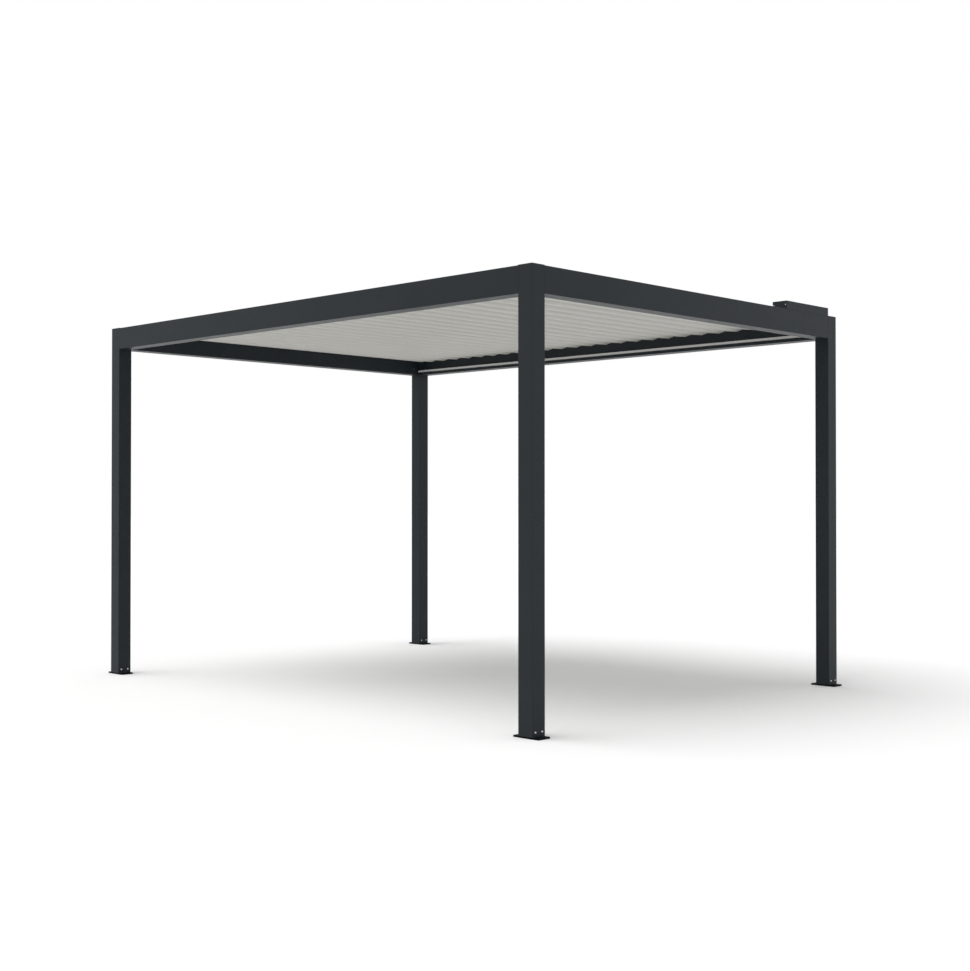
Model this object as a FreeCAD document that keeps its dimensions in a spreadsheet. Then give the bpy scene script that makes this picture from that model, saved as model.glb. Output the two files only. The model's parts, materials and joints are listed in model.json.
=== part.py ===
import FreeCAD, Part
import math
import os
import re
import Sketcher

# Louvered pergola: four posts on bolted feet, four hollow beams between them, and a roof of
# turning louvers. The frame's origin is on the ground under the plan's centre, X runs along the
# long side, Y along the short side (front at -Y) and Z is up. All sizes are in millimetres.

SIZES = [
    ("length", 4015, "overall length along X, over the posts"),
    ("width", 2994, "overall width along Y, over the posts"),
    ("height", 2436, "ground to the top of the post caps"),
    ("post_side", 98, "side of the square posts, and width of the beams"),
    ("post_wall", 2.5, "wall of the posts"),
    ("corner_radius", 2, "outer corner radius of the posts and beams"),
    ("cap_thickness", 2.5, "plate of the post caps"),
    ("cap_plug", 15, "depth of the cap's plug in the post"),
    ("cap_chamfer", 1, "chamfer round the top of the cap"),
    ("beam_height", 146.5, "height of the beams"),
    ("beam_wall", 2.5, "wall of the beams"),
    ("slip_fit", 0.3, "clearance round a piece that slips into a tube"),
    ("bracket_reach", 110, "length of the beam bracket inside the beam"),
    ("bracket_height", 95, "height of the beam brackets, which stay below the pivot pins"),
    ("bracket_wall", 3, "wall of the beam brackets"),
    ("foot_thickness", 10, "thickness of the foot plates"),
    ("foot_flange", 39, "how far a foot plate reaches past the post along X"),
    ("foot_inset", 5, "how far a foot plate stays inside the post along Y"),
    ("sleeve_height", 70, "height of the foot's sleeve above the plate"),
    ("sleeve_wall", 3, "wall of the foot's sleeve"),
    ("anchor_radius", 6, "radius of the anchor holes in the feet"),
    ("anchor_spacing", 52, "distance of the two anchor holes in one flange, along Y"),
    ("louver_count", 26, "number of louvers"),
    ("louver_tilt", 7, "tilt of a closed louver in degrees, its lip edge down"),
    ("louver_overlap", 25, "how far a louver laps over the next one's lip, along the blade"),
    ("lip_gap", 5, "gap between the last louver's lip and the right beam"),
    ("tail_gap", 19, "gap between the first louver's tail and the left beam"),
    ("pivot_to_lip", 74, "distance from a louver's pivot to its lip edge"),
    ("pivot_rise", 117.5, "height of the pivots above the beams' underside"),
    ("louver_under", 11, "distance from the pivot down to the louver's underside"),
    ("louver_depth", 20, "thickness of the louver's middle"),
    ("louver_edge", 12, "height of the louver's lip and tail above its underside"),
    ("louver_slope", 20, "width of the slopes between the middle and the edges"),
    ("louver_skin", 2, "wall of the louver"),
    ("louver_rounding", 3, "radius of the louver's tail edges"),
    ("nose_reach", 24, "width of the sloping nose between the louver's underside and its lip"),
    ("nose_rise", 10, "height of the sloping nose"),
    ("nose_bend", 10, "radius of the bend between the underside and the nose"),
    ("lip_thickness", 2.5, "thickness of the lip's top edge"),
    ("lip_rounding", 1, "radius of the lip's outer edges"),
    ("gutter_floor", 3.5, "width of the gutter's flat floor behind the nose"),
    ("rib_depth", 7.2, "depth of the rib under the tail, which hides the gap above the next lip"),
    ("rib_gap", 5.5, "gap between that rib and the next louver's lip"),
    ("rib_width", 2.5, "width of the rib, measured along the blade"),
    ("rib_slant", 8, "how far the rib leans towards the tail"),
    ("front_gap", 18, "gap between the louver ends and the front beam, with the tie bar in it"),
    ("back_gap", 8, "gap between the louver ends and the back beam"),
    ("end_plate", 4, "thickness of the plates that close a louver's ends"),
    ("drain_radius", 3, "radius of the drain holes in the end plates"),
    ("pivot_radius", 4, "radius of the pivot pins"),
    ("pivot_fit", 0.1, "radial clearance of the pivot pins in the pivot strips"),
    ("pivot_tail", 6, "length of a pivot pin inside the beam"),
    ("strip_thickness", 2, "thickness of the pivot strips"),
    ("strip_height", 24, "height of the pivot strips"),
    ("strip_margin", 20, "length of a pivot strip past the outer pivots"),
    ("beam_hole_radius", 6, "radius of the holes behind the pivot strips"),
    ("crank_back", 31, "crank pin's distance from the pivot, along the blade towards the tail"),
    ("crank_up", 10, "crank pin's distance from the pivot, square to the blade"),
    ("crank_radius", 3, "radius of the crank pins"),
    ("crank_fit", 0.3, "radial clearance of the crank pins in the tie bar"),
    ("crank_tail", 1.5, "length of a crank pin past the tie bar"),
    ("lug_radius", 8, "radius of the lug that carries the crank pin"),
    ("link_gap", 6, "gap between the louver ends and the tie bar"),
    ("link_thickness", 4, "thickness of the tie bar"),
    ("link_height", 12, "height of the tie bar"),
    ("link_margin", 14, "length of the tie bar past the outer crank pins"),
    ("light_rise", 21, "height of the light channel's foot above the beams' underside"),
    ("light_height", 17, "height of the light channel"),
    ("light_depth", 18, "how far the light channel stands out from the beam"),
    ("light_wall", 1.5, "wall of the light channel"),
    ("light_recess", 1, "how far the diffuser sits behind the channel's edges"),
    ("diffuser_depth", 3, "thickness of the diffuser"),
    ("trim_fit", 0.3, "clearance round the diffuser and at the trims' ends"),
    ("box_length", 500, "length of the control box along Y"),
    ("box_width", 104, "width of the control box along X"),
    ("box_height", 52, "height of the control box above the beam"),
    ("box_base", 3, "thickness of the control box's base"),
    ("box_wall", 2, "wall of the control box's cover"),
]
SIZE_NAMES = {name for name, value, note in SIZES}

# Places and sizes that follow from the sheet, as formulas in its own names.
BEAM_TOP = "(height - cap_thickness)"
BEAM_BOTTOM = "(height - cap_thickness - beam_height)"
CLEAR_X = "(length - 2 * post_side)"
CLEAR_Y = "(width - 2 * post_side)"
CORNER_X = "((length - post_side) / 2)"
CORNER_Y = "((width - post_side) / 2)"
TUBE_BORE = "(post_side / 2 - post_wall)"
PITCH = f"(({CLEAR_X} - lip_gap - tail_gap - louver_overlap) / (louver_count - 1 + cos(louver_tilt)))"
TAIL = f"({PITCH} * cos(louver_tilt) + louver_overlap - pivot_to_lip)"
RIB = f"(pivot_to_lip + rib_gap - {PITCH} * cos(louver_tilt))"
SHELF = "(pivot_to_lip - lip_thickness - nose_reach - gutter_floor)"
PIVOT_SPAN = f"((louver_count - 1) * {PITCH})"
FIRST_PIVOT = f"(tail_gap + {TAIL} - {CLEAR_X} / 2)"
PIVOT_HEIGHT = f"({BEAM_BOTTOM} + pivot_rise)"
LOUVER_LENGTH = f"({CLEAR_Y} - front_gap - back_gap)"
CRANK_X = "(crank_up * sin(louver_tilt) - crank_back * cos(louver_tilt))"
CRANK_Z = "(crank_up * cos(louver_tilt) + crank_back * sin(louver_tilt))"

document = FreeCAD.newDocument("louvered_pergola")
sheet = document.addObject("Spreadsheet::Sheet", "Sizes")
for row, (name, value, note) in enumerate(SIZES, start=1):
    sheet.set(f"A{row}", name)
    sheet.set(f"B{row}", str(value))
    sheet.set(f"C{row}", note)
    sheet.setAlias(f"B{row}", name)
document.recompute()

nodes = []


def linked(formula):
    """The formula with each size's name pointing at its cell of the sheet."""
    def cell(match):
        word = match.group()
        return f"Sizes.{word}" if word in SIZE_NAMES else word
    return re.sub(r"[a-z_]+", cell, formula)


def worth(formula):
    """The number that a formula stands for."""
    return float(sheet.evalExpression(linked(formula)))


def bind(thing, **formulas):
    """Ties properties to formulas: x, y and z are the placement's, the others go by name."""
    for key, formula in formulas.items():
        target = f"Placement.Base.{key}" if key in ("x", "y", "z") else key
        thing.setExpression(target, linked(formula))


def keep(thing, label):
    """Names a finished sub-part and puts it on the list that is written out."""
    thing.Label = label
    nodes.append(thing)
    return thing


def box(name, low, size):
    """A block from its low corner, both given as three formulas."""
    block = document.addObject("Part::Box", name)
    bind(block, Length=size[0], Width=size[1], Height=size[2], x=low[0], y=low[1], z=low[2])
    return block


def cylinder(name, radius, height, base):
    """An upright cylinder from the centre of its base."""
    rod = document.addObject("Part::Cylinder", name)
    bind(rod, Radius=radius, Height=height, x=base[0], y=base[1], z=base[2])
    return rod


def cut(name, base, tool):
    result = document.addObject("Part::Cut", name)
    result.Base = base
    result.Tool = tool
    return result


def fuse(name, pieces):
    result = document.addObject("Part::MultiFuse", name)
    result.Shapes = pieces
    return result


def group(name, pieces):
    """Several solids in one object, or one solid that is repeated at another place."""
    result = document.addObject("Part::Compound", name)
    result.Links = pieces
    return result


def repeated(piece, name, **place):
    copy = group(name, [piece])
    bind(copy, **place)
    return copy


def body(name):
    return document.addObject("PartDesign::Body", name)


def origin_plane(part, role):
    return next(item for item in part.Origin.OriginFeatures if item.Role == role)


def sketch_on(part, role, name):
    """A sketch on one of the body's own origin planes."""
    sketch = part.newObject("Sketcher::SketchObject", name)
    sketch.AttachmentSupport = [(origin_plane(part, role), "")]
    sketch.MapMode = "FlatFace"
    return sketch


def pin_point(sketch, line, end, formulas):
    """Ties one end of a line to two formulas for its distances from the sketch's origin."""
    for kind, formula in zip(("DistanceX", "DistanceY"), formulas):
        number = sketch.addConstraint(
            Sketcher.Constraint(kind, -1, 1, line, end, worth(formula)))
        sketch.setExpression(f"Constraints[{number}]", linked(formula))


def outline(sketch, points):
    """A closed outline of straight lines through points that are pairs of formulas."""
    places = [FreeCAD.Vector(worth(across), worth(up), 0) for across, up in points]
    first = sketch.GeometryCount
    count = len(points)
    for index, place in enumerate(places):
        sketch.addGeometry(Part.LineSegment(place, places[(index + 1) % count]), False)
    for index, point in enumerate(points):
        line = first + index
        following = first + (index + 1) % count
        sketch.addConstraint(Sketcher.Constraint("Coincident", line, 2, following, 1))
        pin_point(sketch, line, 1, point)


def rectangle(sketch, left, right, low, high):
    outline(sketch, [(left, low), (right, low), (right, high), (left, high)])


def circle(sketch, radius, across, up):
    """A circle whose radius and centre follow formulas."""
    centre = FreeCAD.Vector(worth(across), worth(up), 0)
    ring = sketch.addGeometry(
        Part.Circle(centre, FreeCAD.Vector(0, 0, 1), worth(radius)), False)
    number = sketch.addConstraint(Sketcher.Constraint("Radius", ring, worth(radius)))
    sketch.setExpression(f"Constraints[{number}]", linked(radius))
    pin_point(sketch, ring, 3, (across, up))


def pad(part, sketch, name, length, reverse=False):
    feature = part.newObject("PartDesign::Pad", name)
    feature.Profile = sketch
    feature.Reversed = reverse
    bind(feature, Length=length)
    return feature


def rounded(part, name, radius, chosen):
    """Rounds the edges of the body's last feature that the test picks."""
    document.recompute()
    tip = part.Tip
    names = [f"Edge{number}" for number, edge in enumerate(tip.Shape.Edges, start=1)
             if chosen(edge)]
    feature = part.newObject("PartDesign::Fillet", name)
    feature.Base = (tip, names)
    bind(feature, Radius=radius)
    return feature


def hole_row(part, sketch, name, depth, reverse):
    """Cuts the sketch's hole and repeats it at each louver, along the body's X axis."""
    document.recompute()
    before = part.Shape.Volume
    pocket = part.newObject("PartDesign::Pocket", name)
    pocket.Profile = sketch
    pocket.Reversed = reverse
    bind(pocket, Length=depth)
    row = part.newObject("PartDesign::LinearPattern", f"{name}_row")
    row.Originals = [pocket]
    row.Direction = (origin_plane(part, "X_Axis"), [""])
    bind(row, Length=PIVOT_SPAN, Occurrences="louver_count")
    part.Tip = row
    document.recompute()
    if part.Shape.Volume >= before:
        raise ValueError(f"{name} cuts nothing")


def outer_long_edges(axis, half_width, low, high):
    """Picks a tube's four outer edges, which run along one axis at the given corners."""
    others = [index for index in range(3) if index != axis]

    def chosen(edge):
        ends = [vertex.Point for vertex in edge.Vertexes]
        if len(ends) != 2 or abs(ends[0][axis] - ends[1][axis]) < 1:
            return False
        across, up = (ends[0][index] for index in others)
        at_side = abs(abs(across) - half_width) < 0.01
        return at_side and min(abs(up - low), abs(up - high)) < 0.01
    return chosen


def make_posts():
    """Four square tubes that stand on the foot plates and carry the caps."""
    for name, side_x, side_y in CORNERS:
        post = body(f"post_{name}")
        section = sketch_on(post, "XY_Plane", f"post_{name}_section")
        half = "post_side / 2"
        rectangle(section, f"-{half}", half, f"-{half}", half)
        rectangle(section, f"-{TUBE_BORE}", TUBE_BORE, f"-{TUBE_BORE}", TUBE_BORE)
        pad(post, section, f"post_{name}_tube", f"{BEAM_TOP} - foot_thickness")
        reach = worth(half)
        rounded(post, f"post_{name}_rounding", "corner_radius",
                outer_long_edges(2, reach, -reach, reach))
        bind(post, x=f"{side_x}{CORNER_X}", y=f"{side_y}{CORNER_Y}", z="foot_thickness")
        keep(post, f"post_{name}")


def make_caps():
    """Flat caps with a plug that slips into the post."""
    plug = f"({TUBE_BORE} - slip_fit)"
    plate = box("cap_plate", ["-post_side / 2", "-post_side / 2", "0"],
                ["post_side", "post_side", "cap_thickness"])
    stub = box("cap_plug_block", [f"-{plug}", f"-{plug}", "-cap_plug"],
               [f"2 * {plug}", f"2 * {plug}", "cap_plug"])
    whole = fuse("cap_blank", [plate, stub])
    document.recompute()
    top = worth("cap_thickness")
    cap = document.addObject("Part::Chamfer", "cap_pattern")
    cap.Base = whole
    bevel = worth("cap_chamfer")
    cap.Edges = [(number, bevel, bevel) for number, edge in enumerate(whole.Shape.Edges, start=1)
                 if all(abs(vertex.Z - top) < 0.01 for vertex in edge.Vertexes)]
    copies = [repeated(cap, f"cap_{name}", x=f"{side_x}{CORNER_X}", y=f"{side_y}{CORNER_Y}",
                       z=BEAM_TOP) for name, side_x, side_y in CORNERS]
    keep(group("post_caps", copies), "post_caps")


def make_feet():
    """Foot plates with two anchor holes in each flange and a sleeve inside the post."""
    reach_x = "(post_side / 2 + foot_flange)"
    reach_y = "(post_side / 2 - foot_inset)"
    sleeve = f"({TUBE_BORE} - slip_fit)"
    hollow = f"({TUBE_BORE} - slip_fit - sleeve_wall)"
    plate = box("foot_plate", [f"-{reach_x}", f"-{reach_y}", "0"],
                [f"2 * {reach_x}", f"2 * {reach_y}", "foot_thickness"])
    stub = box("foot_stub", [f"-{sleeve}", f"-{sleeve}", "foot_thickness"],
               [f"2 * {sleeve}", f"2 * {sleeve}", "sleeve_height"])
    core = box("foot_core", [f"-{hollow}", f"-{hollow}", "foot_thickness"],
               [f"2 * {hollow}", f"2 * {hollow}", "sleeve_height"])
    anchor_x = "(post_side / 2 + foot_flange / 2)"
    holes = [cylinder(f"anchor_hole_{number}", "anchor_radius", "foot_thickness",
                      [f"{side_x}{anchor_x}", f"{side_y}anchor_spacing / 2", "0"])
             for number, (side_x, side_y) in enumerate(SIDES, start=1)]
    blank = fuse("foot_blank", [plate, stub])
    foot = cut("foot_pattern", blank, fuse("foot_openings", [core] + holes))
    copies = [repeated(foot, f"foot_{name}", x=f"{side_x}{CORNER_X}", y=f"{side_y}{CORNER_Y}")
              for name, side_x, side_y in CORNERS]
    keep(group("feet", copies), "feet")


def make_beam(name, run, turn, place, pivot_side=0):
    """A hollow beam along its body's X axis, with pivot holes in one side if it carries louvers."""
    beam = body(name)
    section = sketch_on(beam, "YZ_Plane", f"{name}_section")
    rectangle(section, "-post_side / 2", "post_side / 2", "0", "beam_height")
    rectangle(section, "beam_wall - post_side / 2", "post_side / 2 - beam_wall",
              "beam_wall", "beam_height - beam_wall")
    pad(beam, section, f"{name}_tube", run)
    rounded(beam, f"{name}_rounding", "corner_radius",
            outer_long_edges(0, worth("post_side / 2"), 0, worth("beam_height")))
    if pivot_side:
        hole = sketch_on(beam, "XZ_Plane", f"{name}_hole")
        circle(hole, "beam_hole_radius", f"{FIRST_PIVOT} + {CLEAR_X} / 2", "pivot_rise")
        hole_row(beam, hole, f"{name}_holes", "post_side / 2", reverse=pivot_side < 0)
    beam.Placement = FreeCAD.Placement(
        FreeCAD.Vector(), FreeCAD.Rotation(FreeCAD.Vector(0, 0, 1), turn))
    bind(beam, x=place[0], y=place[1], z=BEAM_BOTTOM)
    keep(beam, name)


def make_beams():
    """Long beams in front and at the back, short ones left and right, flush with the posts."""
    make_beam("front_beam", CLEAR_X, 0, [f"-{CLEAR_X} / 2", f"-{CORNER_Y}"], pivot_side=1)
    make_beam("back_beam", CLEAR_X, 0, [f"-{CLEAR_X} / 2", CORNER_Y], pivot_side=-1)
    make_beam("left_beam", CLEAR_Y, 90, [f"-{CORNER_X}", f"-{CLEAR_Y} / 2"])
    make_beam("right_beam", CLEAR_Y, 90, [CORNER_X, f"-{CLEAR_Y} / 2"])


def bracket(name, along_x, x_sides, y_sides):
    """A five-sided box inside a beam's end, its closed end against the post."""
    half = "(post_side / 2 - beam_wall - slip_fit)"
    low_z = f"({BEAM_BOTTOM} + beam_wall + slip_fit)"
    clear, across = (CLEAR_X, CORNER_Y) if along_x else (CLEAR_Y, CORNER_X)
    end_side, beam_side = (x_sides, y_sides) if along_x else (y_sides, x_sides)
    start = f"{end_side}{clear} / 2" + (" - bracket_reach" if end_side == "+" else "")
    inner = start if end_side == "+" else f"{start} + bracket_wall"
    middle = f"{beam_side}{across}"
    outer_low = [start, f"{middle} - {half}"]
    outer_size = ["bracket_reach", f"2 * {half}"]
    inner_low = [inner, f"{middle} - {half} + bracket_wall"]
    inner_size = ["bracket_reach - bracket_wall", f"2 * {half} - 2 * bracket_wall"]
    if not along_x:
        for pair in (outer_low, outer_size, inner_low, inner_size):
            pair.reverse()
    shell = box(f"{name}_shell", outer_low + [low_z], outer_size + ["bracket_height"])
    core = box(f"{name}_core", inner_low + [f"{low_z} + bracket_wall"],
               inner_size + ["bracket_height - 2 * bracket_wall"])
    return cut(name, shell, core)


def make_brackets():
    """Two brackets at each post, one for each beam that meets it."""
    pieces = []
    for name, side_x, side_y in CORNERS:
        pieces.append(bracket(f"bracket_long_{name}", True, side_x, side_y))
        pieces.append(bracket(f"bracket_short_{name}", False, side_x, side_y))
    keep(group("beam_brackets", pieces), "beam_brackets")


def make_pivot_strips():
    """Bearing strips on the long beams' inner faces, with one hole for each pivot pin."""
    for name, side, wall, reverse in (("front", "-", f"-{CLEAR_Y} / 2", True),
                                      ("back", "+", f"{CLEAR_Y} / 2", False)):
        strip = body(f"{name}_pivot_strip")
        blank = sketch_on(strip, "XZ_Plane", f"{name}_strip_outline")
        rectangle(blank, "-strip_margin", f"{PIVOT_SPAN} + strip_margin",
                  "-strip_height / 2", "strip_height / 2")
        pad(strip, blank, f"{name}_strip_plate", "strip_thickness", reverse)
        hole = sketch_on(strip, "XZ_Plane", f"{name}_strip_hole")
        circle(hole, "pivot_radius + pivot_fit", "0", "0")
        hole_row(strip, hole, f"{name}_strip_holes", "strip_thickness", not reverse)
        bind(strip, x=FIRST_PIVOT, y=wall, z=PIVOT_HEIGHT)
        keep(strip, f"{name}_pivot_strip")


def blade_outline(sketch):
    """The blade's section, with the pivot at the origin and the lip towards +X.

    A nose slopes up to the lip, with the gutter behind it. A rib hangs under the tail.
    """
    low = "-louver_under"
    edge_top = "louver_edge - louver_under"
    top = "louver_depth - louver_under"
    lip_back = "pivot_to_lip - lip_thickness"
    outline(sketch, [
        ("pivot_to_lip - nose_reach", low),
        ("pivot_to_lip", f"{low} + nose_rise"),
        ("pivot_to_lip", edge_top),
        (lip_back, edge_top),
        (f"{lip_back} - nose_reach", f"{low} + louver_skin"),
        (SHELF, f"{low} + louver_skin"),
        (SHELF, edge_top),
        (f"{SHELF} - louver_slope", top),
        (f"louver_slope - {TAIL}", top),
        (f"-{TAIL}", edge_top),
        (f"-{TAIL}", low),
        (f"{RIB} + rib_slant", low),
        (RIB, f"{low} - rib_depth"),
        (f"{RIB} + rib_width", f"{low} - rib_depth"),
        (f"{RIB} + rib_width + rib_slant", low),
    ])


def blade_cells(sketch):
    """The two hollow cells of the blade, with a web between them under the pivot."""
    low = "louver_skin - louver_under"
    edge_top = "louver_edge - louver_under - louver_skin"
    top = "louver_depth - louver_under - louver_skin"
    shelf = f"{SHELF} - louver_skin"
    web = "louver_skin / 2"
    outline(sketch, [(shelf, low), (shelf, edge_top),
                     (f"{shelf} - louver_slope + louver_skin", top), (web, top), (web, low)])
    outline(sketch, [(f"louver_skin - {TAIL}", low), (f"-{web}", low), (f"-{web}", top),
                     (f"louver_slope - {TAIL}", top), (f"louver_skin - {TAIL}", edge_top)])


def long_edges(corners):
    """A test that picks the edges along Y through the given corners of the section."""
    places = [(worth(x), worth(z)) for x, z in corners]

    def chosen(edge):
        ends = [vertex.Point for vertex in edge.Vertexes]
        if len(ends) != 2 or abs(ends[0].y - ends[1].y) < 1:
            return False
        return any(math.hypot(ends[0].x - x, ends[0].z - z) < 0.01 for x, z in places)
    return chosen


def end_plate(louver, name, start, outward):
    """A plate with drain holes that closes the blade's end."""
    sketch = sketch_on(louver, "XZ_Plane", f"{name}_outline")
    blade_outline(sketch)
    circle(sketch, "drain_radius", f"{SHELF} - 3 * drain_radius", "0")
    circle(sketch, "drain_radius", f"3 * drain_radius - {TAIL}", "-drain_radius")
    sketch.setExpression("AttachmentOffset.Base.z", linked(start))
    pad(louver, sketch, name, "end_plate", outward)


def end_rod(louver, name, start, centre, radius, length, reverse):
    """A round pin, boss or lug that stands out from a louver's end."""
    sketch = sketch_on(louver, "XZ_Plane", f"{name}_outline")
    circle(sketch, radius, *centre)
    sketch.setExpression("AttachmentOffset.Base.z", linked(start))
    pad(louver, sketch, name, length, reverse)


def make_louvers():
    """One hollow blade with closed ends, pivot pins and a crank pin, repeated along the roof.

    The blade's sketches face the front, so a distance along their normal is towards -Y.
    """
    louver = body("louver_01")
    front_end = f"({CLEAR_Y} / 2 - front_gap)"
    back_end = f"(back_gap - {CLEAR_Y} / 2)"
    section = sketch_on(louver, "XZ_Plane", "blade_section")
    blade_outline(section)
    blade_cells(section)
    section.setExpression("AttachmentOffset.Base.z", linked(f"{back_end} + end_plate"))
    pad(louver, section, "blade", f"{LOUVER_LENGTH} - 2 * end_plate")
    end_plate(louver, "front_plate", f"{front_end} - end_plate", False)
    end_plate(louver, "back_plate", back_end, False)
    crank = ("-crank_back", "crank_up")
    end_rod(louver, "crank_lug", f"{front_end} - end_plate", crank, "lug_radius",
            "end_plate", False)
    end_rod(louver, "crank_pin", front_end, crank, "crank_radius",
            "link_gap + link_thickness + crank_tail", False)
    end_rod(louver, "front_pin", front_end, ("0", "0"), "pivot_radius",
            "front_gap + beam_wall + pivot_tail", False)
    end_rod(louver, "back_pin", back_end, ("0", "0"), "pivot_radius",
            "back_gap + beam_wall + pivot_tail", True)
    low = "-louver_under"
    edge_top = "louver_edge - louver_under"
    rounded(louver, "tail_rounding", "louver_rounding",
            long_edges([(f"-{TAIL}", low), (f"-{TAIL}", edge_top)]))
    rounded(louver, "nose_rounding", "nose_bend", long_edges([("pivot_to_lip - nose_reach", low)]))
    rounded(louver, "lip_edges", "lip_rounding",
            long_edges([("pivot_to_lip", f"{low} + nose_rise"), ("pivot_to_lip", edge_top)]))
    louver.Placement = FreeCAD.Placement(
        FreeCAD.Vector(), FreeCAD.Rotation(FreeCAD.Vector(0, 1, 0), worth("louver_tilt")))
    bind(louver, x=FIRST_PIVOT, z=PIVOT_HEIGHT)
    louver.setExpression("Placement.Rotation.Angle", linked("louver_tilt"))
    keep(louver, "louver_01")
    for number in range(2, round(worth("louver_count")) + 1):
        name = f"louver_{number:02d}"
        keep(repeated(louver, name, x=f"{number - 1} * {PITCH}"), name)


def make_tie_bar():
    """A flat bar that joins the crank pins, so that all louvers turn together."""
    bar = body("tie_bar")
    blank = sketch_on(bar, "XZ_Plane", "bar_outline")
    rectangle(blank, "-link_margin", f"{PIVOT_SPAN} + link_margin",
              "-link_height / 2", "link_height / 2")
    pad(bar, blank, "bar_plate", "link_thickness")
    hole = sketch_on(bar, "XZ_Plane", "bar_hole")
    circle(hole, "crank_radius + crank_fit", "0", "0")
    hole_row(bar, hole, "bar_holes", "link_thickness", reverse=True)
    bind(bar, x=f"{FIRST_PIVOT} + {CRANK_X}", y=f"front_gap - link_gap - {CLEAR_Y} / 2",
         z=f"{PIVOT_HEIGHT} + {CRANK_Z}")
    keep(bar, "tie_bar")


def facing_pair(piece, name):
    """The piece on the back beam's inner face, and the same one turned on the front beam's."""
    copies = []
    for side, turn, sign in (("back", 0, "+"), ("front", 180, "-")):
        copy = group(f"{name}_{side}", [piece])
        copy.Placement = FreeCAD.Placement(
            FreeCAD.Vector(), FreeCAD.Rotation(FreeCAD.Vector(0, 0, 1), turn))
        bind(copy, y=f"{sign}{CLEAR_Y} / 2", z=f"{BEAM_BOTTOM} + light_rise")
        copies.append(copy)
    keep(group(name, copies), name)


def make_lights():
    """A light channel along each long beam's inner face, open towards the middle."""
    run = f"({CLEAR_X} - 2 * trim_fit)"
    shell = box("channel_shell", [f"-{run} / 2", "-light_depth", "0"],
                [run, "light_depth", "light_height"])
    core = box("channel_core", [f"-{run} / 2", "-light_depth", "light_wall"],
               [run, "light_depth - light_wall", "light_height - 2 * light_wall"])
    facing_pair(cut("channel_pattern", shell, core), "light_channels")
    diffuser = box("diffuser_pattern",
                   [f"-{run} / 2", "light_recess - light_depth", "light_wall + trim_fit"],
                   [run, "diffuser_depth", "light_height - 2 * light_wall - 2 * trim_fit"])
    facing_pair(diffuser, "light_diffusers")


def make_control_box():
    """The housing of the louver drive's controls, on the right beam beside the back post."""
    low_x = "length / 2 - box_width"
    low_y = f"{CLEAR_Y} / 2 - box_length"
    base = box("control_box_base", [low_x, low_y, BEAM_TOP],
               ["box_width", "box_length", "box_base"])
    keep(base, "control_box_base")
    shell = box("cover_shell", [low_x, low_y, f"{BEAM_TOP} + box_base"],
                ["box_width", "box_length", "box_height - box_base"])
    core = box("cover_core",
               [f"{low_x} + box_wall", f"{low_y} + box_wall", f"{BEAM_TOP} + box_base"],
               ["box_width - 2 * box_wall", "box_length - 2 * box_wall",
                "box_height - box_base - box_wall"])
    keep(cut("control_box_cover", shell, core), "control_box_cover")


CORNERS = [
    ("front_left", "-", "-"),
    ("front_right", "+", "-"),
    ("back_right", "+", "+"),
    ("back_left", "-", "+"),
]
SIDES = [("-", "-"), ("+", "-"), ("+", "+"), ("-", "+")]


def check_objects():
    """Stops if any object failed, or a sub-part's shape is missing or not valid."""
    for thing in document.Objects:
        if "Invalid" in thing.State or "Error" in thing.State:
            raise ValueError(f"{thing.Name} failed: {thing.State}")
    for node in nodes:
        if node.Shape.isNull() or not node.Shape.isValid():
            raise ValueError(f"{node.Label} has no valid shape")


make_posts()
make_caps()
make_feet()
make_beams()
make_brackets()
make_pivot_strips()
make_louvers()
make_tie_bar()
make_lights()
make_control_box()
document.recompute()
check_objects()
os.makedirs("parts", exist_ok=True)
for node in nodes:
    node.Shape.exportStep(f"parts/{node.Label}.step")
print(len(nodes), "nodes written")
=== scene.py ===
import json
import math

import bmesh
import bpy
from mathutils import Matrix, Vector

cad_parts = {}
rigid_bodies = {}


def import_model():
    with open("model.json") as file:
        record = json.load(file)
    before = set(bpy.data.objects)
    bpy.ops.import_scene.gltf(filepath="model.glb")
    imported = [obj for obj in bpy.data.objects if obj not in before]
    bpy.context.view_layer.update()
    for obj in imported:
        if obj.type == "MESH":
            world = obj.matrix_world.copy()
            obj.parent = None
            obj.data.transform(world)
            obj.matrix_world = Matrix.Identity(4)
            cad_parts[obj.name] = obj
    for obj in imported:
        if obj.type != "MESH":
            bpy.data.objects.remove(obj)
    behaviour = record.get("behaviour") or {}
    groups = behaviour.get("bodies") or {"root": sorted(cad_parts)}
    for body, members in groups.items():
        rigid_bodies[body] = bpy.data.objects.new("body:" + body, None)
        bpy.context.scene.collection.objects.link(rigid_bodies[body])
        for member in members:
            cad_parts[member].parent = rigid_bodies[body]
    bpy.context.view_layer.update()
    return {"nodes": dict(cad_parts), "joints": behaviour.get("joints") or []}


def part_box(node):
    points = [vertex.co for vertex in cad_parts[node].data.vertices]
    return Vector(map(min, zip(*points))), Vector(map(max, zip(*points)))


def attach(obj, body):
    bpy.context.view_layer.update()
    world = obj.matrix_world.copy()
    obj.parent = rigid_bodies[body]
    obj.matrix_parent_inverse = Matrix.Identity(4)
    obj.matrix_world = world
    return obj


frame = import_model()

X, Y, Z = range(3)

# Camera, from the fitted photograph. The sensor spans the image's longer side, its height.
CAMERA_PLACE = Vector((6.871, -6.8585, 1.2150))
CAMERA_AIM = Vector((-0.69607, 0.71789, 0.01115))
FOCAL_PIXELS = 1418.19
IMAGE_HEIGHT_PIXELS = 971
SENSOR_MM = 36

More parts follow.
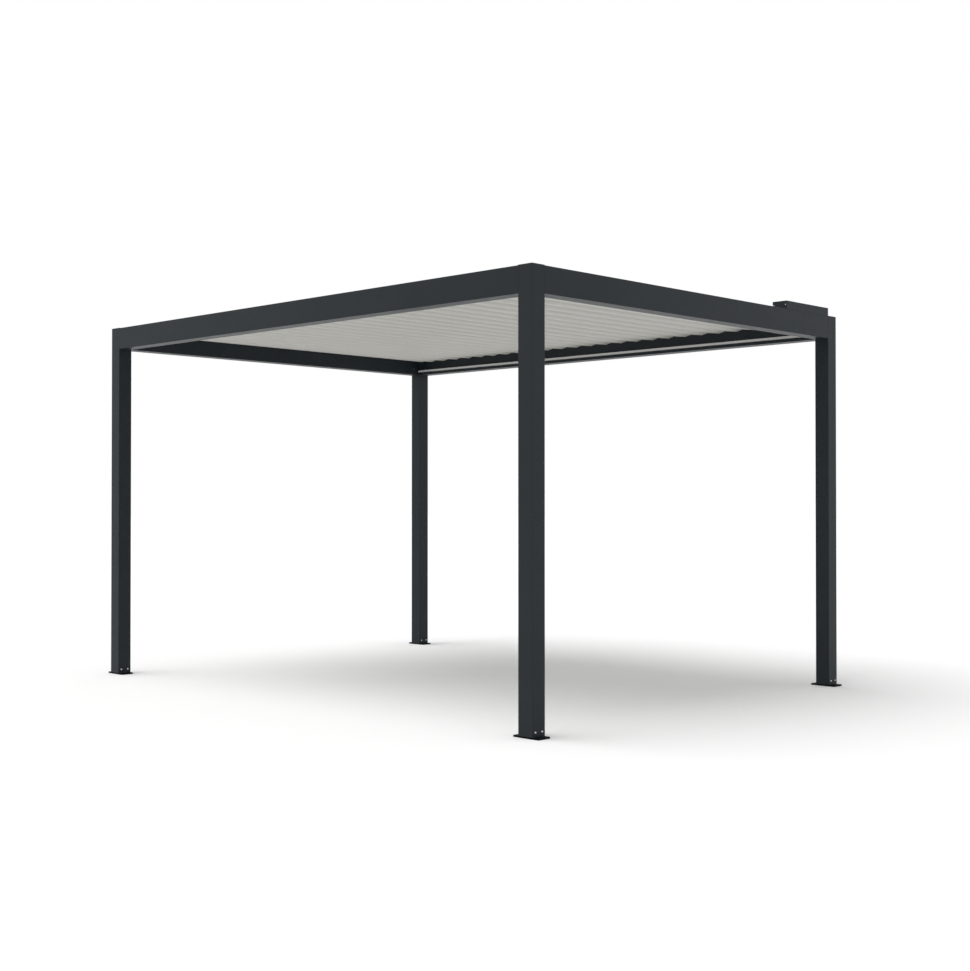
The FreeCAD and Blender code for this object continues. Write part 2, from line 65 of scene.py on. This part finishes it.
# Light. Floor and sky look white, and throw less light than white ones would.
SKY_STRENGTH = 0.62
SUN_STRENGTH = 1.5
SUN_ANGLE = math.radians(50)
SUN_AIM = Vector((0.26, 0.32, -1.0))
FLOOR_SEEN = (1, 1, 1, 1)
FLOOR_BOUNCE = (0.55, 0.55, 0.545, 1)
FLOOR_SIZE = 160

# Finishes. Colours are linear. A noise is its features a metre and its detail, and a bump is its
# strength and its distance in metres.
NOISE_MIDDLE = (0.3, 0.7)

ANTHRACITE = (0.0155, 0.021, 0.0255)
ANTHRACITE_LIGHT = (0.0185, 0.0245, 0.029)
# The feet's near-black colours are partly the plates' own dark coat and partly painted contact
# shadow, darker than the frame's anthracite.
FOOT_BLACK_AND_PAINTED_SHADE = (0.003, 0.0035, 0.004)
FOOT_GREY_AND_PAINTED_SHADE = (0.0045, 0.005, 0.0055)
COAT_SHINE = 0.19
COAT_ROUGHNESS = (0.43, 0.49)
FOOT_SHINE = 0.05
FOOT_ROUGHNESS = (0.5, 0.62)
COAT_DRIFT = (2.5, 4)
COAT_PATCHES = (25, 3)
COAT_PEEL = (420, 2)
COAT_PEEL_BUMP = (0.12, 0.0002)
COAT_GRAIN = (2200, 2)
COAT_GRAIN_BUMP = (0.1, 0.0001)

LOUVER_WHITE = (0.82, 0.81, 0.765)
LOUVER_SHADE = (0.80, 0.79, 0.745)
LOUVER_SHINE = 0.3
LOUVER_ROUGHNESS = (0.45, 0.55)
LOUVER_DRIFT = (3, 4)
LOUVER_PATCHES = (50, 3)
LOUVER_LINES = (240, 1.5, 240)
LOUVER_LINES_DETAIL = 3
LOUVER_LINES_BUMP = (0.08, 0.0001)
LOUVER_GRAIN = (500, 2)
LOUVER_GRAIN_BUMP = (0.12, 0.0001)

BARE_METAL = (0.62, 0.62, 0.63)
SCREW_METAL = (0.72, 0.72, 0.73)
# The bracket screws, on the beams' inner faces, are given a darker metal than the other screws.
DARK_METAL = (0.16, 0.16, 0.165)
SILVER = (0.54, 0.54, 0.55)
METAL_SHADE = 0.9
METAL_LINES_ALONG = 1
METAL_LINES_ACROSS = 300
METAL_LINES_DETAIL = 4
METAL_LINES_BUMP = (0.15, 0.0001)

DIFFUSER_WHITE = (0.78, 0.78, 0.775)
BEARING_BLACK = (0.022, 0.022, 0.024)
PLASTIC_SHADE = 0.93
PLASTIC_DRIFT = (12, 3)
PLASTIC_PATCHES = (150, 2)
PLASTIC_GRAIN = (900, 2)
PLASTIC_GRAIN_BUMP = (0.12, 0.0001)

# Screws and clips, placed from the edges or the pivot of what they hold.
FOOT_SCREW_RADIUS = 0.006
FOOT_SCREW_SPACING = 0.051
FOOT_SCREW_RISE = 0.034
BRACKET_SCREW_RADIUS = 0.0055
BRACKET_SCREW_REACH = 0.065
BRACKET_SCREW_RISE = 0.047
COVER_SCREW_RADIUS = 0.0035
COVER_SCREW_INSET = 0.009
PLATE_SCREW_RADIUS = 0.003
PLATE_SCREW_REACHES = (0.018, -0.060)
PLATE_SCREW_DROP = 0.002
CLIP_RADIUS = 0.0052
CLIP_BORE = 0.003
CLIP_THICKNESS = 0.0009
CLIP_GAP = 0.0002

# A screw head, in shares of its radius, with the socket's floor as a share of its height.
HEAD_HEIGHT = 0.55
HEAD_SEGMENTS = 24
DOME_STEPS = 6
DOME_TOP = 0.62
SOCKET_HALF_WIDTH = 0.5
SOCKET_FLOOR = 0.25

# The louvers' fall at rest, and how far their pins reach past the end plates.
LOUVER_TILT = math.radians(7)
PIN_LENGTH_FRONT = 0.0265
PIN_LENGTH_BACK = 0.0165

EDGE_BEVEL = 0.0009
BEVEL_SEGMENTS = 2
BEVEL_ANGLE = math.radians(40)
SHARP_ANGLE = math.radians(35)

FRAME_BODY = "frame"
BEVELLED_NODES = ("feet", "control_box_base", "control_box_cover", "light_channels")
LOUVER_NODES = sorted(name for name in frame["nodes"] if name.startswith("louver_"))
POST_NODES = [name for name in frame["nodes"] if name.startswith("post_") and name != "post_caps"]


def joint_of(body):
    """The joint that moves a body."""
    return next(joint for joint in frame["joints"] if joint["child"] == body)


class Finish:
    """A material and the nodes that the finishes here are made of."""

    def __init__(self, name):
        self.material = bpy.data.materials.new(name)
        self.material.use_nodes = True
        self.nodes = self.material.node_tree.nodes
        self.links = self.material.node_tree.links
        self.shader = self.nodes["Principled BSDF"]
        self.place = self.nodes.new("ShaderNodeTexCoord").outputs["Object"]

    def put(self, **sockets):
        """Sets the shader's own sockets, each word of a name joined with an underline."""
        for name, value in sockets.items():
            self.shader.inputs[name.replace("_", " ")].default_value = value

    def noise(self, scale, detail, place=None):
        """Noise with that many features a metre."""
        node = self.nodes.new("ShaderNodeTexNoise")
        node.inputs["Scale"].default_value = scale
        node.inputs["Detail"].default_value = detail
        self.links.new(place or self.place, node.inputs["Vector"])
        return node.outputs["Fac"]

    def lines(self, stretch, detail):
        """Noise drawn out into lines, from its features a metre along each axis."""
        mapping = self.nodes.new("ShaderNodeMapping")
        mapping.inputs["Scale"].default_value = stretch
        self.links.new(self.place, mapping.inputs["Vector"])
        return self.noise(1, detail, place=mapping.outputs["Vector"])

    def spread(self, source, low, high):
        """The middle of a noise's range mapped to low and high."""
        node = self.nodes.new("ShaderNodeMapRange")
        node.inputs["From Min"].default_value = NOISE_MIDDLE[0]
        node.inputs["From Max"].default_value = NOISE_MIDDLE[1]
        node.inputs["To Min"].default_value = low
        node.inputs["To Max"].default_value = high
        self.links.new(source, node.inputs["Value"])
        return node.outputs["Result"]

    def colour(self, source, first, second):
        """A base colour that drifts between two colours."""
        node = self.nodes.new("ShaderNodeMix")
        node.data_type = "RGBA"
        node.inputs["A"].default_value = (*first, 1)
        node.inputs["B"].default_value = (*second, 1)
        self.links.new(self.spread(source, 0, 1), node.inputs["Factor"])
        self.links.new(node.outputs["Result"], self.shader.inputs["Base Color"])

    def roughness(self, source, low, high):
        """A roughness that drifts between low and high."""
        self.links.new(self.spread(source, low, high), self.shader.inputs["Roughness"])

    def bump(self, height, strength, distance, below=None):
        """Bumps on the surface, or on the bumps below them."""
        node = self.nodes.new("ShaderNodeBump")
        node.inputs["Strength"].default_value = strength
        node.inputs["Distance"].default_value = distance
        self.links.new(height, node.inputs["Height"])
        if below:
            self.links.new(below, node.inputs["Normal"])
        self.links.new(node.outputs["Normal"], self.shader.inputs["Normal"])
        return node.outputs["Normal"]


def powder_coat(name, first, second, shine, rough):
    """Fine-textured powder coat: slight orange peel, small grain and a faint drift of shade."""
    finish = Finish(name)
    finish.put(Specular_IOR_Level=shine)
    finish.colour(finish.noise(*COAT_DRIFT), first, second)
    finish.roughness(finish.noise(*COAT_PATCHES), *rough)
    peel = finish.bump(finish.noise(*COAT_PEEL), *COAT_PEEL_BUMP)
    finish.bump(finish.noise(*COAT_GRAIN), *COAT_GRAIN_BUMP, below=peel)
    return finish.material


def louver_coat():
    """Pale satin coat on extruded blades, with faint lines along the extrusion."""
    finish = Finish("louver_coat")
    finish.put(Specular_IOR_Level=LOUVER_SHINE)
    finish.colour(finish.noise(*LOUVER_DRIFT), LOUVER_WHITE, LOUVER_SHADE)
    finish.roughness(finish.noise(*LOUVER_PATCHES), *LOUVER_ROUGHNESS)
    drawn = finish.bump(finish.lines(LOUVER_LINES, LOUVER_LINES_DETAIL), *LOUVER_LINES_BUMP)
    finish.bump(finish.noise(*LOUVER_GRAIN), *LOUVER_GRAIN_BUMP, below=drawn)
    return finish.material


def drawn_metal(name, colour, rough, along):
    """Bare metal with fine lines along one axis."""
    finish = Finish(name)
    shade = tuple(part * METAL_SHADE for part in colour)
    stretch = [METAL_LINES_ACROSS] * 3
    stretch[along] = METAL_LINES_ALONG
    lines = finish.lines(stretch, METAL_LINES_DETAIL)
    finish.put(Metallic=1)
    finish.colour(lines, colour, shade)
    finish.roughness(lines, *rough)
    finish.bump(lines, *METAL_LINES_BUMP)
    return finish.material


def moulded(name, colour, rough):
    """Moulded plastic with a soft grain."""
    finish = Finish(name)
    shade = tuple(part * PLASTIC_SHADE for part in colour)
    finish.colour(finish.noise(*PLASTIC_DRIFT), colour, shade)
    finish.roughness(finish.noise(*PLASTIC_PATCHES), *rough)
    finish.bump(finish.noise(*PLASTIC_GRAIN), *PLASTIC_GRAIN_BUMP)
    return finish.material


def paint(name, material):
    """Gives a CAD node one material in all its slots."""
    slots = frame["nodes"][name].data.materials
    slots.clear()
    slots.append(material)


def soften(name):
    """Small bevels on a CAD node's sharp edges."""
    modifier = frame["nodes"][name].modifiers.new("edge_bevel", "BEVEL")
    modifier.width = EDGE_BEVEL
    modifier.segments = BEVEL_SEGMENTS
    modifier.limit_method = "ANGLE"
    modifier.angle_limit = BEVEL_ANGLE
    modifier.harden_normals = True


def piece(name, mesh, material, body):
    """A new object that rides on a body, in the finish given to it."""
    data = bpy.data.meshes.new(name)
    mesh.to_mesh(data)
    mesh.free()
    for polygon in data.polygons:
        polygon.use_smooth = True
    thing = bpy.data.objects.new(name, data)
    bpy.context.scene.collection.objects.link(thing)
    data.materials.append(material)
    data.set_sharp_from_angle(angle=SHARP_ANGLE)
    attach(thing, body)


def facing(centre, normal):
    """The matrix that puts something built along +Z at a place, pointing along a normal."""
    turn = Vector((0, 0, 1)).rotation_difference(Vector(normal))
    return Matrix.Translation(Vector(centre)) @ turn.to_matrix().to_4x4()


def circle(radius):
    """The distance from a circle's centre to its edge, the same in each direction."""
    return lambda angle: radius


def hexagon(half_width):
    """The distance from a hexagon's centre to its side in each direction."""
    def radius(angle):
        return half_width / math.cos((angle + math.pi / 6) % (math.pi / 3) - math.pi / 6)
    return radius


def ring(mesh, radius_at, height, matrix):
    """The points round a circle or hexagon at a height."""
    points = []
    for step in range(HEAD_SEGMENTS):
        angle = 2 * math.pi * step / HEAD_SEGMENTS
        radius = radius_at(angle)
        point = Vector((radius * math.cos(angle), radius * math.sin(angle), height))
        points.append(mesh.verts.new(matrix @ point))
    return points


def join_rings(mesh, rings):
    """Faces from each ring to the next."""
    for low, high in zip(rings, rings[1:]):
        for index in range(len(low)):
            following = (index + 1) % len(low)
            mesh.faces.new((low[index], low[following], high[following], high[index]))


def button_head(mesh, centre, normal, radius):
    """A domed screw head with a hexagon socket."""
    matrix = facing(centre, normal)
    tall = radius * HEAD_HEIGHT
    rings = []
    for step in range(DOME_STEPS):
        slope = step / DOME_STEPS * math.pi / 2
        width = radius * (DOME_TOP + (1 - DOME_TOP) * math.cos(slope))
        rings.append(ring(mesh, circle(width), tall * math.sin(slope), matrix))
    socket = hexagon(radius * SOCKET_HALF_WIDTH)
    rings.append(ring(mesh, socket, tall, matrix))
    rings.append(ring(mesh, socket, tall * SOCKET_FLOOR, matrix))
    join_rings(mesh, rings)
    mesh.faces.new(rings[-1])


def flat_washer(mesh, centre, normal, bore, radius, thickness):
    """A round washer or clip with a hole."""
    matrix = facing(centre, normal)
    corners = ((bore, 0), (radius, 0), (radius, thickness), (bore, thickness))
    rings = [ring(mesh, circle(width), height, matrix) for width, height in corners]
    join_rings(mesh, [*rings, rings[0]])


def foot_screws(material):
    """Two screws low on the outer and inner long-side faces of each post."""
    mesh = bmesh.new()
    for name in POST_NODES:
        low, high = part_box(name)
        middle = (low[Y] + high[Y]) / 2
        for face, side in ((low[X], -1), (high[X], 1)):
            for shift in (-FOOT_SCREW_SPACING / 2, FOOT_SCREW_SPACING / 2):
                place = (face, middle + shift, FOOT_SCREW_RISE)
                button_head(mesh, place, (side, 0, 0), FOOT_SCREW_RADIUS)
    piece("foot_screws", mesh, material, FRAME_BODY)


def bracket_screws(material):
    """The screws that hold the beam brackets, on the beams' inner faces beside each post."""
    mesh = bmesh.new()
    for name, along, side in (("front_beam", X, 1), ("back_beam", X, -1),
                              ("left_beam", Y, 1), ("right_beam", Y, -1)):
        low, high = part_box(name)
        across = Y if along == X else X
        face = high[across] if side > 0 else low[across]
        normal = [0, 0, 0]
        normal[across] = side
        for end in (low[along] + BRACKET_SCREW_REACH, high[along] - BRACKET_SCREW_REACH):
            place = [0, 0, low[Z] + BRACKET_SCREW_RISE]
            place[along] = end
            place[across] = face
            button_head(mesh, place, normal, BRACKET_SCREW_RADIUS)
    piece("bracket_screws", mesh, material, FRAME_BODY)


def cover_screws(material):
    """Screws in the free end of the control box's cover."""
    mesh = bmesh.new()
    low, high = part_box("control_box_cover")
    height = (low[Z] + high[Z]) / 2
    for across in (low[X] + COVER_SCREW_INSET, high[X] - COVER_SCREW_INSET):
        button_head(mesh, (across, low[Y], height), (0, -1, 0), COVER_SCREW_RADIUS)
    piece("cover_screws", mesh, material, FRAME_BODY)


def louver_hardware(screw_material, clip_material):
    """The end plates' screws and the clip that keeps the tie bar on each crank pin."""
    low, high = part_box(LOUVER_NODES[0])
    plates = ((low[Y] + PIN_LENGTH_FRONT, -1), (high[Y] - PIN_LENGTH_BACK, 1))
    tilt = Matrix.Rotation(LOUVER_TILT, 4, "Y")
    bar_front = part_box("tie_bar")[0][Y]
    swing = joint_of("tie_bar")
    lead = joint_of(swing["parent"])
    crank = Vector(swing["pos_m"]) - Vector(lead["pos_m"])
    for name in LOUVER_NODES:
        pivot = Vector(joint_of(name)["pos_m"])
        screws = bmesh.new()
        for face, side in plates:
            for reach in PLATE_SCREW_REACHES:
                place = pivot + tilt @ Vector((reach, 0, -PLATE_SCREW_DROP))
                place.y = face
                button_head(screws, place, (0, side, 0), PLATE_SCREW_RADIUS)
        piece(f"{name}_plate_screws", screws, screw_material, name)
        clip = bmesh.new()
        place = (pivot.x + crank.x, bar_front - CLIP_GAP, pivot.z + crank.z)
        flat_washer(clip, place, (0, -1, 0), CLIP_BORE, CLIP_RADIUS, CLIP_THICKNESS)
        piece(f"{name}_clip", clip, clip_material, name)


def seen_directly(nodes, links):
    """1 for rays from the camera and for those that mirror or pass through something, else 0."""
    path = nodes.new("ShaderNodeLightPath")
    seen = path.outputs["Is Camera Ray"]
    for output in ("Is Glossy Ray", "Is Transmission Ray"):
        larger = nodes.new("ShaderNodeMath")
        larger.operation = "MAXIMUM"
        links.new(seen, larger.inputs[0])
        links.new(path.outputs[output], larger.inputs[1])
        seen = larger.outputs["Value"]
    return seen


def make_stage():
    """A wide matt floor that looks white and throws less light back."""
    bpy.ops.mesh.primitive_plane_add(size=FLOOR_SIZE, location=(0, 0, 0))
    floor = bpy.context.object
    floor.name = "floor"
    material = bpy.data.materials.new("floor")
    material.use_nodes = True
    nodes = material.node_tree.nodes
    links = material.node_tree.links
    shader = nodes["Principled BSDF"]
    shader.inputs["Roughness"].default_value = 1
    shader.inputs["Specular IOR Level"].default_value = 0
    shade = nodes.new("ShaderNodeMix")
    shade.data_type = "RGBA"
    shade.inputs["A"].default_value = FLOOR_BOUNCE
    shade.inputs["B"].default_value = FLOOR_SEEN
    links.new(seen_directly(nodes, links), shade.inputs["Factor"])
    links.new(shade.outputs["Result"], shader.inputs["Base Color"])
    floor.data.materials.append(material)


def make_world():
    """White for what the camera sees, also in reflections, and a softer sky as light."""
    world = bpy.data.worlds.new("studio")
    world.use_nodes = True
    bpy.context.scene.world = world
    nodes = world.node_tree.nodes
    links = world.node_tree.links
    background = nodes["Background"]
    background.inputs["Color"].default_value = (1, 1, 1, 1)
    strength = nodes.new("ShaderNodeMapRange")
    strength.inputs["To Min"].default_value = SKY_STRENGTH
    strength.inputs["To Max"].default_value = 1
    links.new(seen_directly(nodes, links), strength.inputs["Value"])
    links.new(strength.outputs["Result"], background.inputs["Strength"])


def make_sun():
    """One broad soft light from above the front left."""
    data = bpy.data.lights.new("soft_sun", "SUN")
    data.energy = SUN_STRENGTH
    data.angle = SUN_ANGLE
    lamp = bpy.data.objects.new("soft_sun", data)
    lamp.rotation_euler = SUN_AIM.to_track_quat("-Z", "Y").to_euler()
    bpy.context.scene.collection.objects.link(lamp)


def make_camera():
    """The photograph's viewpoint, in front of the front right post."""
    data = bpy.data.cameras.new("camera")
    data.sensor_width = SENSOR_MM
    data.lens = FOCAL_PIXELS * SENSOR_MM / IMAGE_HEIGHT_PIXELS
    camera = bpy.data.objects.new("camera", data)
    camera.location = CAMERA_PLACE
    camera.rotation_euler = CAMERA_AIM.to_track_quat("-Z", "Y").to_euler()
    bpy.context.scene.collection.objects.link(camera)
    bpy.context.scene.camera = camera


frame_coat = powder_coat("frame_coat", ANTHRACITE, ANTHRACITE_LIGHT, COAT_SHINE, COAT_ROUGHNESS)
foot_coat_and_painted_shade = powder_coat("foot_coat_and_painted_shade", FOOT_BLACK_AND_PAINTED_SHADE, FOOT_GREY_AND_PAINTED_SHADE, FOOT_SHINE, FOOT_ROUGHNESS)
silver = drawn_metal("silver", SILVER, rough=(0.30, 0.42), along=X)
bare = drawn_metal("bare_aluminium", BARE_METAL, rough=(0.28, 0.4), along=X)
bright = drawn_metal("screw_steel", SCREW_METAL, rough=(0.18, 0.28), along=Z)
# A darker metal than the other screws, for the bracket screws on the beams' inner faces.
dark = drawn_metal("darker_screw_metal", DARK_METAL, rough=(0.30, 0.42), along=Z)
plastic = moulded("bearing_plastic", BEARING_BLACK, rough=(0.45, 0.6))
diffuser = moulded("diffuser", DIFFUSER_WHITE, rough=(0.35, 0.5))
pale = louver_coat()

for name in frame["nodes"]:
    paint(name, frame_coat)
for name in LOUVER_NODES:
    paint(name, pale)
for name in ("front_pivot_strip", "back_pivot_strip"):
    paint(name, plastic)
for name in ("tie_bar", "beam_brackets"):
    paint(name, bare)
# The feet get a near-black coat: partly their own dark coat, partly painted contact shadow.
paint("feet", foot_coat_and_painted_shade)
paint("light_channels", silver)
paint("light_diffusers", diffuser)
for name in BEVELLED_NODES:
    soften(name)

foot_screws(bright)
bracket_screws(dark)
cover_screws(bright)
louver_hardware(bright, bare)
make_stage()
make_world()
make_sun()
make_camera()
bpy.context.scene.view_settings.view_transform = "Standard"
